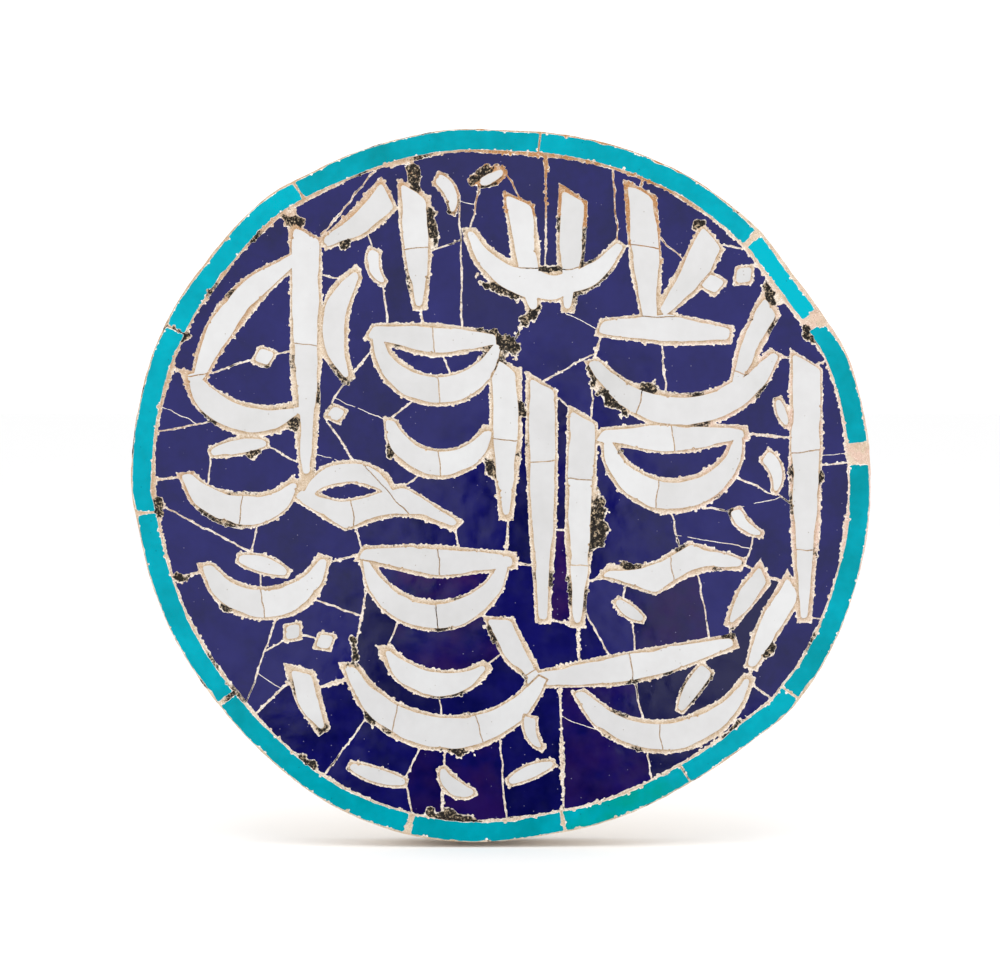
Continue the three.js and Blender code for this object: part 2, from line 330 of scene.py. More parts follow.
# Where cobalt is lost beside a joint and dark filler shows: x, z, half length along the joint, half width
FILLED = [
    (80, -26, 26, 9), (-39, -265, 24, 5), (4, 123, 12, 7), (78, 70, 15, 4), (-59, 217, 13, 5),
    (-67, 254, 12, 5), (20, 140, 11, 4), (3, 17, 10, 4), (116, 75, 7, 6), (-12, 254, 10, 4),
    (-4, 155, 16, 4), (-35, -215, 10, 4), (-168, 219, 8, 5), (10, 68, 9, 4), (248, 124, 10, 4),
    (-155, -220, 9, 4), (-268, -10, 8, 4), (-171, 60, 7, 5), (-111, -132, 12, 3), (-123, 196, 7, 4),
    (33, 178, 15, 3), (223, -131, 8, 5), (1, -112, 8, 4), (-250, 125, 7, 4), (-260, -69, 8, 4),
    (73, 98, 8, 3), (-47, 199, 8, 3), (-103, -181, 7, 3), (-204, 38, 7, 3), (-90, 35, 6, 3),
    (218, 163, 9, 4), (161, 218, 7, 3), (262, 14, 9, 3), (196, -206, 10, 3), (-232, -104, 6, 3),
    (104, -66, 9, 3),
]
# Hairline cracks in the glaze: x, z to x, z
CRACKS = [
    (-120, 70, -96, 60), (-146, 30, -118, 22), (-232, -28, -214, -26), (262, 30, 282, 32),
    (210, -8, 236, -2), (-40, 238, -18, 232), (152, 62, 172, 58), (-256, 60, -240, 52),
    (36, -178, 66, -190), (-196, -150, -170, -168), (44, 150, 66, 138), (150, -36, 172, -40),
    (-92, -272, -82, -290), (-248, -150, -262, -160), (-286, 96, -300, 98), (96, -272, 100, -286),
]
# Cobalt tiles in another tone: a point of the tile, how pale it is, and its hue from slate to purple. Their
# darker tones below the middle are painted dark reflection of the room below
ODD_TILES = [
    (20, 235, 0.1, -0.3), (-100, -80, -0.4, -0.6), (234, -84, 0.0, -0.8), (-60, -66, -0.6, 0.9),
    (50, -84, -0.7, 1.0), (20, -30, -1.0, 0.0), (50, 20, -1.0, 0.1), (-20, -220, -0.6, 0.5),
    (120, -130, -0.8, 0.5), (-60, -130, -0.7, 0.5), (90, -200, -0.6, 0.4), (-60, -250, -0.8, 0.3),
]

# Every tile as one field: how far a point of the face is outside the nearest tile

tile_names = sorted(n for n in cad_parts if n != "plaster_bed")
tile_kind = [
    BORDER if n.startswith("border") else GROUND if n.startswith("ground") else STROKE
    for n in tile_names
]
tile_loops = [
    [softened(loop) for loop in outline_loops(n, -FACE - FLATNESS, -FACE + FLATNESS)]
    for n in tile_names
]

nearest = np.full((NZ, NX), BAND)
second = np.full((NZ, NX), BAND)
owner = np.full((NZ, NX), -1, np.int32)
inside = np.zeros((NZ, NX), bool)
for mark, loops in enumerate(tile_loops):
    w, away = outline_distance(loops)
    closer = away < nearest[w]
    second[w] = np.where(closer, nearest[w], np.minimum(second[w], away))
    nearest[w] = np.where(closer, away, nearest[w])
    owner[w] = np.where(closer, mark, owner[w])
for mark, loops in enumerate(tile_loops):
    covered = inside_loops(loops)
    owner[covered] = mark
    inside |= covered
kind = np.array(tile_kind + [-1])[owner]
# The real tiles fill their places better than the solids do, which keep room between them
half_joint = np.where(inside, second - nearest, second + nearest) / 2
# The outline of the panel's back is the rim
rim = softened(outline_loops("plaster_bed", -FLATNESS, FLATNESS)[0], step=1.6)
rim_outward = np.roll(rim, -1, 0) - np.roll(rim, 1, 0)
rim_outward = np.c_[rim_outward[:, 1], -rim_outward[:, 0]] / np.linalg.norm(rim_outward, axis=1)[:, None]


def rim_radius(x, z):
    """The panel's radius at the bearing of a point."""
    corners = sorted(zip(np.arctan2(rim[:, 1], rim[:, 0]), np.hypot(*rim.T)))
    return np.interp(np.arctan2(z, x), *np.array(corners).T, period=2 * math.pi)


# The middle of a border tile lies this far inside the rim
BORDER_MIDDLE = 8.9
# Half of the plaster that always stays between two tiles, and the room that a ragged edge may take
HALF_JOINT, RAGGED_ROOM = 0.5, 0.5

bearing = np.degrees(np.arctan2(GZ, GX))
outer = np.hypot(GX, GZ) > rim_radius(GX, GZ) - BORDER_MIDDLE
wide_rim = np.exp(-(((bearing - 34) / 14) ** 2)) + 0.5 * np.exp(-(((bearing - 140) / 9) ** 2))
loose, tight = layered_noise(15, GX, GZ, 34, 2), layered_noise(18, GX, GZ, 22, 2)
growth = np.select(
    [(kind == BORDER) & outer, kind == BORDER, kind == GROUND, kind == STROKE],
    [
        np.minimum(0.6 - 1.9 * wide_rim + 0.35 * tight, 0.8),
        0.95 + 0.5 * loose,
        np.clip(0.95 + 1.2 * loose, -0.4, 1.25),
        np.clip(1.5 * tight, -0.8, 1.2),
    ],
    0,
)
taken_up = np.clip(half_joint - HALF_JOINT, 0, growth)
shape = np.where(inside, -nearest, nearest) - taken_up
room = np.clip(half_joint - taken_up - HALF_JOINT, 0, RAGGED_ROOM)

# A small inlay also owns the points of the plaster that are this near to it
INLAY_REACH = 2
for part, marks in ((STROKE, SMALL_STROKES), (GROUND, SMALL_GROUND)):
    for name, outline in marks.items():
        loop = softened(outline)
        w, near = outline_distance([loop])
        near = np.where(inside_loops([loop])[w], -near, near)
        if part == STROKE:
            shape[w] = np.maximum(shape[w], SMALL_GROUT - near)
        else:
            near = np.maximum(near, SMALL_GROUT - shape[w])
        taken = near < shape[w]
        shape[w] = np.where(taken, near, shape[w])
        owned = taken & (near < INLAY_REACH)
        owner[w] = np.where(owned, len(tile_names), owner[w])
        kind[w] = np.where(owned, part, kind[w])
        tile_names.append(name)
        tile_kind.append(part)


# A logistic curve of this steepness is nearly that of a blurred edge
LOGISTIC = 1.702


def rounded(field, of, reach):
    """The field with the corners of its negative parts rounded off over reach millimetres."""
    cover = np.clip(0.5 - field / PITCH, 0, 1) * of
    cover = np.clip(blurred(cover, reach), 1e-5, 1 - 1e-5)
    return np.maximum(field, reach / LOGISTIC * np.log((1 - cover) / cover))


# Where cobalt is lost beside a joint, its place is filled up with dark mortar, along the nearest edge
SEARCH, LUMP_MARGIN = 26, 6
EDGE_SLOPE = 0.03
wander_x = GX + 1.0 * lattice_noise(11, GX, GZ, 9) + 0.3 * lattice_noise(12, GX, GZ, 2.5)
wander_z = GZ + 1.0 * lattice_noise(13, GX, GZ, 9) + 0.3 * lattice_noise(14, GX, GZ, 2.5)
smooth = blurred(np.clip(shape, -4, 4), 2.0)
slope_z, slope_x = np.gradient(smooth)
ragged = 0.5 * layered_noise(25, GX, GZ, 6)
soot = np.zeros((NZ, NX))
for x, z, long, wide in FILLED:
    w = window((x, z), (x, z), SEARCH)
    steep = np.hypot(slope_x[w], slope_z[w])
    beside = (shape[w] > 0.1) & (kind[w] == GROUND) & (steep > EDGE_SLOPE)
    joint = np.where(beside, np.hypot(GX[w] - x, GZ[w] - z), np.inf)
    at = np.unravel_index(joint.argmin(), joint.shape)
    cx, cz = GX[w][at], GZ[w][at]
    across = np.array((slope_x[w][at], slope_z[w][at])) / steep[at]
    w = window((cx, cz), (cx, cz), long + LUMP_MARGIN)
    dx, dz = wander_x[w] - cx, wander_z[w] - cz
    along_it, across_it = dx * across[1] - dz * across[0], dx * across[0] + dz * across[1]
    lump = np.clip(1 - np.hypot(along_it / long, across_it / wide) + ragged[w], -1, 1)
    soot[w] = np.maximum(soot[w], np.clip(0.6 + 3 * lump, 0, 1))
    shape[w] = np.where(kind[w] == GROUND, np.maximum(shape[w], min(long, wide) * lump), shape[w])
soot = np.maximum(soot, np.clip(1.6 * (layered_noise(30, GX, GZ, 24, 2) - 0.38), 0, 0.8))

# Needle points break off, and every cut edge is nibbled
shape = rounded(shape, kind >= 0, 0.9)
shape = np.where(kind == STROKE, rounded(shape, kind == STROKE, 1.7), shape)
coarse = np.clip(0.5 + layered_noise(21, GX, GZ, 5), 0, 2)
teeth = lattice_noise(27, GX, GZ, 1.3) + 0.6 * lattice_noise(28, GX, GZ, 2.4)
rare = np.clip(lattice_noise(23, GX, GZ, 13) - 0.5, 0, 1)
chipped = np.select(
    [kind == BORDER, kind == GROUND, kind == STROKE],
    [
        0.15 * coarse + 0.12 * teeth + 2.2 * rare,
        0.15 * coarse + 0.42 * teeth + 1.3 * rare,
        0.1 * coarse + 0.07 * teeth + 1.8 * rare,
    ],
    0,
)
shape += np.maximum(chipped, -room)


def scattered(rng, apart, shake, margin=0):
    """Points about apart millimetres from each other, each shaken by up to a share of that."""
    sides = [np.arange(low + margin, high - margin, apart) for low, high in ((X0, X1), (Z0, Z1))]
    return [v.ravel() + rng.uniform(-shake, shake, v.size) * apart for v in np.meshgrid(*sides)]


def nearest_cell(x, z):
    return np.rint((z - Z0) / PITCH).astype(int), np.rint((x - X0) / PITCH).astype(int)


def nibble(field, part, apart, smallest, largest, share, seed):
    """Takes small round bites out of the edges of one kind of tile."""
    rng = np.random.default_rng(seed)
    x, z = scattered(rng, apart, 0.5, margin=5)
    size = smallest + (largest - smallest) * rng.random(x.size) ** 2
    wanted = rng.random(x.size) < share * (1 + 0.8 * lattice_noise(seed + 1, x, z, 30))
    cell = nearest_cell(x, z)
    wanted &= (kind[cell] == part) & (np.abs(field[cell]) < 0.5 * size)
    for cx, cz, r in zip(x[wanted], z[wanted], size[wanted]):
        w = window((cx, cz), (cx, cz), r)
        bite = r - np.hypot(GX[w] - cx, GZ[w] - cz)
        field[w] = np.where(kind[w] == part, np.maximum(field[w], bite), field[w])


nibble(shape, BORDER, 2.2, 0.4, 1.5, 0.2, 41)
nibble(shape, GROUND, 1.7, 0.45, 1.3, 0.4, 43)
nibble(shape, STROKE, 2.4, 0.4, 1.0, 0.2, 45)


def run_across(part, ax, az, bx, bz):
    """A window round a line through a tile, and how far its points are from the line.

    The line runs both ways from the middle between its two points, to where the tile ends.
    """
    a, b = np.array((ax, az), float), np.array((bx, bz), float)
    ahead = (b - a) / np.linalg.norm(b - a)
    reach = np.arange(0, LONGEST_RUN, 0.5)
    ends = []
    for way in (-1, 1):
        spots = (a + b) / 2 + way * reach[:, None] * ahead
        out = at_grid(shape, *spots.T) > 0
        ends.append(spots[out.argmax() if out.any() else -1])
    w = window(np.minimum(*ends), np.maximum(*ends), 4)
    away = segment_distance(wander_x[w], wander_z[w], *ends)
    return w, np.where(kind[w] == part, away, BAND)


hair = np.full((NZ, NX), BAND)
for part, splits, width in ((STROKE, STROKE_SPLITS, STROKE_JOINT), (GROUND, GROUND_SPLITS, GROUND_JOINT)):
    for split in splits:
        w, away = run_across(part, *split)
        shape[w] = np.maximum(shape[w], width / 2 - away)
        if part == STROKE:
            hair[w] = np.minimum(hair[w], away)

# The glaze ends a little inside the edge, and bare ceramic shows there
worn = np.clip(0.5 + lattice_noise(24, GX, GZ, 3), 0, 2) ** 2
bare = np.select(
    [kind == BORDER, kind == GROUND],
    [0.15 + 0.25 * worn, 0.12 + 0.3 * worn],
    0.22 + 0.1 * worn,
)
glaze = shape + bare * np.clip(hair / 1.5, 0.25, 1)
nibble(glaze, BORDER, 1.6, 0.35, 1.2, 0.3, 47)
nibble(glaze, GROUND, 1.9, 0.3, 0.9, 0.2, 49)
# A crack that starts beyond this radius is in the border
BORDER_RADIUS = 284
HALF_CRACK = 0.3
for crack in CRACKS:
    part = BORDER if math.hypot(*crack[:2]) > BORDER_RADIUS else GROUND
    w, away = run_across(part, *crack)
    glaze[w] = np.maximum(glaze[w], HALF_CRACK - away)


def contour_loops(field, least, least_hole):
    """The lines where the field is 0, as loops with its negative side on their left.

    Loops round less than least square millimetres are left out, and holes smaller than least_hole.
    """
    inside = field < 0
    across = inside[:, 1:] != inside[:, :-1]
    up = inside[1:] != inside[:-1]
    n_across = int(across.sum())
    across_id = np.full(across.shape, -1)
    across_id[across] = np.arange(n_across)
    up_id = np.full(up.shape, -1)
    up_id[up] = n_across + np.arange(int(up.sum()))
    j, i = np.nonzero(across)
    a, b = field[j, i], field[j, i + 1]
    points = [np.c_[XS[i] + PITCH * a / (a - b), ZS[j]]]
    j, i = np.nonzero(up)
    a, b = field[j, i], field[j + 1, i]
    points = np.concatenate(points + [np.c_[XS[i], ZS[j] + PITCH * a / (a - b)]])
    code = inside[:-1, :-1] + 2 * inside[:-1, 1:] + 4 * inside[1:, 1:] + 8 * inside[1:, :-1]
    middle = (field[:-1, :-1] + field[:-1, 1:] + field[1:, 1:] + field[1:, :-1]) < 0
    sides = [across_id[:-1], up_id[:, 1:], across_id[1:], up_id[:, :-1]]
    steps = {
        1: [(0, 3)], 2: [(1, 0)], 3: [(1, 3)], 4: [(2, 1)], 6: [(2, 0)], 7: [(2, 3)], 8: [(3, 2)],
        9: [(0, 2)], 11: [(1, 2)], 12: [(3, 1)], 13: [(0, 1)], 14: [(3, 0)],
        (5, False): [(0, 3), (2, 1)], (5, True): [(0, 1), (2, 3)],
        (10, False): [(1, 0), (3, 2)], (10, True): [(3, 0), (1, 2)],
    }
    following = np.full(len(points), -1)
    for key, pairs in steps.items():
        cells = (code == key[0]) & (middle == key[1]) if isinstance(key, tuple) else code == key
        for start, end in pairs:
            following[sides[start][cells]] = sides[end][cells]
    following = following.tolist()
    seen = bytearray(len(points))
    loops = []
    for first in range(len(points)):
        if seen[first]:
            continue
        ring, at = [], first
        while at >= 0 and not seen[at]:
            seen[at] = 1
            ring.append(at)
            at = following[at]
        loop = thinned(points[ring])
        area = loop_area(loop)
        if len(loop) > 3 and (area >= least or area <= -least_hole):
            loops.append(loop)
    return loops


def loop_area(loop):
    """The area inside a loop, negative where it runs clockwise."""
    nxt = np.roll(loop, -1, 0)
    return 0.5 * float((loop[:, 0] * nxt[:, 1] - nxt[:, 0] * loop[:, 1]).sum())


def thinned(loop, apart=0.28, tolerance=0.035, longest=3):
    """The loop without points that are too close together or that lie on a straight run."""
    for _ in range(3):
        n = len(loop)
        if n < 8:
            break
        before, after = np.roll(loop, 1, 0), np.roll(loop, -1, 0)
        chord = after - before
        length = np.maximum(np.linalg.norm(chord, axis=1), 1e-6)
        off = np.abs(chord[:, 0] * (loop - before)[:, 1] - chord[:, 1] * (loop - before)[:, 0]) / length
        near = np.linalg.norm(loop - before, axis=1) < apart
        spare = ((off < tolerance) & (length < longest)) | near
        drop = spare.copy()
        drop[::2] = False
        if not drop.any():
            drop = spare
            drop[1::2] = False
        loop = loop[~drop]
    return loop


tile_outlines = contour_loops(shape, least=40.0, least_hole=5.0)
glaze_outlines = contour_loops(glaze, least=3.0, least_hole=2.0)
if loop_area(rim) < 0:
    rim, rim_outward = rim[::-1], -rim_outward[::-1]


def plaster_depth(x, z):
    """How far back the joints' sandy plaster lies behind the tile faces."""
    off = np.clip(at_grid(shape, x, z), 0, 3)
    sand = 0.16 * lattice_noise(51, x, z, 1.7) + 0.2 * lattice_noise(52, x, z, 6)
    pits = 0.9 * np.clip(lattice_noise(53, x, z, 2.6) - 0.5, 0, 1)
    return 0.62 + 0.3 * np.minimum(off / 1.2, 1) + sand + pits


# One flat cut of the whole face into glaze, bare ceramic and plaster


def cut_up(loops, extra):
    """Triangulates the area in the loops, along the loops and with some extra points.

    Gives the points, the triangles, and for each triangle the loops that are round it.
    """
    points, rings = [], []
    start = 0
    for loop in loops:
        ring = list(range(start, start + len(loop)))
        rings.append(ring if loop_area(loop) > 0 else ring[::-1])
        points.append(loop)
        start += len(loop)
    points = np.concatenate(points + [extra])
    found = delaunay_2d_cdt([Vector(p) for p in points.tolist()], [], rings, 0, 1e-4, True)
    return np.array(found[0]), np.array(found[2]), found[5]


SAND_STEP = 1.35
# The sand's points keep this far from the tiles and from the rim
FROM_TILE, FROM_RIM = 0.5, 1.8
rng = np.random.default_rng(61)
sand_x, sand_z = scattered(rng, SAND_STEP, 0.4)
rim_loop = rim - rim_outward * (0.35 + 0.3 * lattice_noise(62, rim[:, 0], rim[:, 1], 7))[:, None]
in_plaster = at_grid(shape, sand_x, sand_z) > FROM_TILE
in_plaster &= np.hypot(sand_x, sand_z) < rim_radius(sand_x, sand_z) - FROM_RIM
n_tiles, n_glaze = len(tile_outlines), len(glaze_outlines)
flat, triangles, around = cut_up(
    tile_outlines + glaze_outlines + [rim_loop], np.c_[sand_x, sand_z][in_plaster]
)
area_of = [abs(loop_area(loop)) for loop in tile_outlines]
# A triangle's patch is the number of its cut piece's loop, or one of these
IN_PLASTER, OUTSIDE = -1, -2
patch = np.full(len(triangles), OUTSIDE)
glazed = np.zeros(len(triangles), bool)
for t, ids in enumerate(around):
    tiles = [k for k in ids if k < n_tiles]
    if len(tiles) % 2:
        patch[t] = min(tiles, key=area_of.__getitem__)
        glazed[t] = sum(n_tiles <= k < n_tiles + n_glaze for k in ids) % 2
    elif n_tiles + n_glaze in ids:
        patch[t] = IN_PLASTER
# A cut piece that has lost all its glaze is plastered over
patch[(patch >= 0) & ~np.isin(patch, patch[glazed])] = IN_PLASTER
on_panel = patch > OUTSIDE
triangles, glazed, patch = triangles[on_panel], glazed[on_panel], patch[on_panel]
middle = flat[triangles].mean(1)
whose = owner[nearest_cell(*middle.T)]
first, second, third = (flat[triangles[:, k]] for k in range(3))
twice_area = np.cross(second - first, third - first)

touches_glaze = np.isin(np.arange(len(flat)), triangles[glazed])
touches_plaster = np.isin(np.arange(len(flat)), triangles[patch == IN_PLASTER])

# Every cut piece lies a little differently in its plaster. Its bare ceramic is a step below its glaze.
GLAZE_DEPTH, BARE_DEPTH = 0.12, 0.45
LEAST_REACH, MOST_LEAN, MOST_TILT = 8, 0.006, 0.22
depth = plaster_depth(*flat.T)
patch_ids = np.unique(patch[patch >= 0])
patch_owner, patch_tone, patch_hue = {}, {}, {}
rng = np.random.default_rng(71)
for k in patch_ids:
    mine = patch == k
    patch_owner[k] = int(np.bincount(whose[mine], weights=twice_area[mine]).argmax())
    patch_tone[k] = rng.uniform(-1, 1)
    patch_hue[k] = 0.0
    verts = np.unique(triangles[mine & glazed])
    centre = middle[mine].mean(0)
    off = flat[verts] - centre
    reach = max(np.abs(off).max(), LEAST_REACH)
    lean = rng.normal(0, 1, 2) * min(MOST_LEAN, MOST_TILT / reach)
    lying = GLAZE_DEPTH + off @ lean + rng.uniform(-0.1, 0.1)
    depth[verts] = np.where(touches_plaster[verts], depth[verts], lying)
depth = np.where(touches_plaster | touches_glaze, depth, BARE_DEPTH)
for k in patch_ids:
    centre = middle[patch == k].mean(0)
    kind_of_patch = tile_kind[patch_owner[k]]
    turn = math.degrees(math.atan2(centre[1], centre[0]))
    if kind_of_patch == BORDER:
        # One pale tile at the upper right, and greener ones along the bottom
        patch_tone[k] = 1.6 if 20 < turn < 50 else 0.6 * patch_tone[k]
        patch_hue[k] = 1.0 if -80 < turn < -55 else 0.0
    elif kind_of_patch == GROUND:
        # The cobalt is painted deeper round the middle and towards the bottom: a painted dark reflection of
        # the room below, baked into the tiles' tone
        dark_reflection_middle = 1 - math.hypot((centre[0] - 20) / 75, (centre[1] - 20) / 110)
        dark_reflection_bottom = min(1, (-150 - centre[1]) / 60)
        patch_tone[k] = 0.45 * patch_tone[k] - 0.8 * max(0, dark_reflection_middle, dark_reflection_bottom)
# An odd tile is the one of the cobalt triangle that is nearest to its point
FAR_OFF, TRIED = 1e3, 400
for x, z, tone, hue in ODD_TILES:
    near = np.hypot(*(middle - (x, z)).T) + np.where(patch >= 0, 0, FAR_OFF)
    for t in np.argsort(near)[:TRIED]:
        if tile_kind[patch_owner[patch[t]]] == GROUND:
            patch_tone[patch[t]], patch_hue[patch[t]] = tone, hue
            break


def boundary_rings(tris):
    """The edges of a sheet of triangles, chained into rings with the sheet on their left."""
    edges = np.concatenate([tris[:, [0, 1]], tris[:, [1, 2]], tris[:, [2, 0]]])
    n = len(flat)
    lone = edges[~np.isin(edges[:, 0] * n + edges[:, 1], edges[:, 1] * n + edges[:, 0])]
    following = {}
    for a, b in lone.tolist():
        following.setdefault(a, []).append(b)
    rings = []
    while following:
        ring, at = [], next(iter(following))
        while at in following:
            ring.append(at)
            ahead = following[at]
            nxt = ahead.pop()
            if not ahead:
                del following[at]
            at = nxt
        rings.append(ring)
    return rings


def well(rings, bottom_depth):
    """Walls straight down from rings of face points, and the floor that closes them.

    Gives the floor's points and the triangles of a solid tile, numbered on from the face's points.
    """
    for keep in (3, 2, 1):
        kept = [ring[::keep] if len(ring) >= 3 * keep + 3 else ring for ring in rings]
        loops = [flat[ring] for ring in kept]
        places, floor, ids = cut_up(loops, np.zeros((0, 2)))
        if len(places) == sum(map(len, loops)):
            break
    start = len(flat)
    floor = floor[np.array([len(i) % 2 == 1 for i in ids])][:, ::-1] + start
    walls, base = [], start
    for ring, few in zip(rings, kept):
        n, m = len(ring), len(few)
        keep = -(-n // m)
        for k in range(m):
            b0, b1 = base + k, base + (k + 1) % m
            tops = [ring[i % n] for i in range(k * keep, min((k + 1) * keep, n) + 1)]
            for t0, t1 in zip(tops, tops[1:]):
                walls.append((t1, t0, b0))
            walls.append((tops[-1], b0, b1))
        base += m
    return np.c_[places, np.full(len(places), bottom_depth)], np.concatenate([floor, walls])


def renumbered(sides, start):
    """The triangles of a well when its new points are numbered from start."""
    return np.where(sides >= len(flat), sides - len(flat) + start, sides)


def mesh_piece(name, places, tris, slots, materials, **values):
    """A piece from points (x, z, depth) in millimetres and triangles.

    Each triangle has the number of its material in slots, and each of the values has a number per point.
    """
    used, tris = np.unique(tris, return_inverse=True)
    tris = tris.reshape(-1, 3)
    places = places[used]
    mesh = bpy.data.meshes.new(name)
    mesh.vertices.add(len(places))
    mesh.vertices.foreach_set(
        "co", np.c_[places[:, 0], places[:, 2] - FACE, places[:, 1]].astype(np.float32).ravel() / 1000
    )
    mesh.loops.add(tris.size)
    mesh.loops.foreach_set("vertex_index", tris.astype(np.int32).ravel())
    mesh.polygons.add(len(tris))
    mesh.polygons.foreach_set("loop_start", np.arange(0, tris.size, 3, dtype=np.int32))
    mesh.polygons.foreach_set("material_index", np.asarray(slots, np.int32))
    for material in materials:
        mesh.materials.append(material)
    for label, data in values.items():
        layer = mesh.attributes.new(label, "FLOAT", "POINT")
        layer.data.foreach_set("value", np.asarray(data, np.float32)[used])
    mesh.update(calc_edges=True)
    mesh.validate()
    mesh.shade_flat()
    piece = bpy.data.objects.new(name, mesh)
    bpy.context.collection.objects.link(piece)
    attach(piece, "root")
    return piece


class Nodes:
    """Short calls for the nodes of a tree. An input is a socket to link, or a value."""

    def __init__(self, tree):
        self.tree = tree

    def add(self, kind, settings=None, **inputs):
        node = self.tree.nodes.new("ShaderNode" + kind)
        for key, value in (settings or {}).items():
            setattr(node, key, value)
        for key, value in inputs.items():
            socket = node.inputs[int(key[1:]) if key[1:].isdigit() else key.replace("_", " ")]
            if isinstance(value, bpy.types.NodeSocket):
                self.tree.links.new(value, socket)
            else:
                socket.default_value = value
        return node

    def value(self, label):
        """One of the numbers that a mesh keeps for its points."""
        return self.add("Attribute", {"attribute_name": label}).outputs["Fac"]

    def noise(self, size, detail=2.0, rough=0.5, place=None):
        """Noise whose bumps are about size millimetres."""
        return self.add(
            "TexNoise", Vector=place or self.place, Scale=1000 / size, Detail=detail, Roughness=rough
        ).outputs["Fac"]

    def math(self, operation, a, b=0.0, c=0.0):
        return self.add("Math", {"operation": operation}, i0=a, i1=b, i2=c).outputs[0]

    def spread(self, value, low, high, to_low=0.0, to_high=1.0):
        """A straight rise from to_low at low to to_high at high."""
        return self.add(
            "MapRange", Value=value, From_Min=low, From_Max=high, To_Min=to_low, To_Max=to_high
        ).outputs[0]

    def mix(self, share, a, b):
        return self.add("Mix", {"data_type": "RGBA"}, Factor=share, i6=a, i7=b).outputs[2]

    def ramp(self, value, low, high):
        """A soft step from 0 at low to 1 at high."""
        smooth = {"interpolation_type": "SMOOTHSTEP"}
        return self.add("MapRange", smooth, Value=value, i1=low, i2=high).outputs[0]


class Shader(Nodes):
    """A material made of nodes, in the object's own coordinates."""

    def __init__(self, name):
        self.material = bpy.data.materials.new(name)
        self.material.use_nodes = True
        super().__init__(self.material.node_tree)
        self.tree.nodes.clear()
        self.place = self.add("TexCoord").outputs["Object"]

    def bump(self, height, distance, normal=None):
        """A normal tilted as by relief that is distance millimetres high."""
        node = self.add("Bump", Height=height, Distance=distance / 1000, Strength=1.0)
        if normal:
            self.tree.links.new(normal, node.inputs["Normal"])
        return node.outputs["Normal"]

    def surface(self, **inputs):
        shader = self.add("BsdfPrincipled", None, **inputs)
        self.add("OutputMaterial", Surface=shader.outputs[0])
        return self.material


def srgb(*rgb):
    """A linear colour from its values of 0 to 255 on a screen."""
    return (*[(c / 255 / 12.92) if c <= 10 else ((c / 255 + 0.055) / 1.055) ** 2.4 for c in rgb], 1)


def glaze_material(name, deep, usual, pale, low_hue, high_hue, speck, waves, shine=0.5):
    """Glaze over cut tiles: a tone for each piece, clouds, pinholes, and a surface that isn't quite flat."""
    m = Shader(name)
    clouds = m.spread(m.noise(38, 3), 0.3, 0.7, -0.5, 0.5)
    clouds = m.math("ADD", clouds, m.spread(m.noise(7, 2), 0.3, 0.7, -0.2, 0.2))
    tone = m.math("MULTIPLY_ADD", m.value("tone"), 0.75, clouds)
    colour = m.mix(m.spread(tone, 0, 1), usual, pale)
    colour = m.mix(m.spread(tone, 0, -1), colour, deep)
    blotch = m.spread(m.noise(30, 3, 0.6), 0.35, 0.6)
    colour = m.mix(m.spread(m.value("hue"), 0, -1), colour, low_hue)
    colour = m.mix(m.math("MULTIPLY", m.spread(m.value("hue"), 0, 1), blotch), colour, high_hue)
    cells = m.add("TexVoronoi", Vector=m.place, Scale=260, Randomness=1.0)
    hole = m.spread(cells.outputs["Distance"], 0.13, 0.07)
    dense = m.spread(m.noise(55, 3, 0.6), 0.35, 0.7, 0.93, 0.8)
    pick = m.add("SeparateColor", i0=cells.outputs["Color"]).outputs[0]
    hole = m.math("MULTIPLY", hole, m.math("GREATER_THAN", pick, dense))
    colour = m.mix(hole, colour, speck)
    swell = m.math("MULTIPLY", m.noise(26, 1.5), waves)
    swell = m.math("ADD", swell, m.math("MULTIPLY", m.noise(6, 2), waves * 0.07))
    normal = m.bump(swell, 1.0)
    normal = m.bump(hole, -0.1, normal)
    rough = m.spread(m.noise(15, 4, 0.6), 0.35, 0.75, 0.05, 0.15)
    rough = m.math("ADD", rough, m.math("MULTIPLY", hole, 0.4))
    return m.surface(Base_Color=colour, Roughness=rough, Normal=normal, Specular_IOR_Level=shine)


cobalt = glaze_material(
    "glaze_cobalt",
    deep=srgb(3, 5, 62), usual=srgb(14, 13, 86), pale=srgb(22, 22, 98),
    low_hue=srgb(12, 13, 56), high_hue=srgb(44, 14, 78),
    speck=srgb(120, 116, 150), waves=0.22, shine=0.38,
)
turquoise = glaze_material(
    "glaze_turquoise",
    deep=srgb(0, 134, 144), usual=srgb(0, 153, 170), pale=srgb(0, 172, 190),
    low_hue=srgb(0, 146, 158), high_hue=srgb(0, 146, 138),
    speck=srgb(0, 90, 100), waves=0.2, shine=0.05,
)
white = glaze_material(
    "glaze_white",
    deep=srgb(201, 200, 199), usual=srgb(208, 207, 207), pale=srgb(215, 215, 215),
    low_hue=srgb(203, 197, 187), high_hue=srgb(203, 197, 187),
    speck=srgb(150, 138, 124), waves=0.2,
)


def body_material(name, deep, pale, pit):
    """The fired clay that shows where the glaze is cut or chipped away, with painted shade in its pits."""
    m = Shader(name)
    grain = m.noise(1.1, 3, 0.7)
    colour = m.mix(m.spread(m.noise(5, 2), 0.35, 0.65), deep, pale)
    # Painted shade: the grain's pits take the darker pit colour
    colour = m.mix(m.spread(grain, 0.56, 0.66), colour, pit)
    normal = m.bump(grain, 0.25)
    return m.surface(Base_Color=colour, Roughness=0.85, Normal=normal)


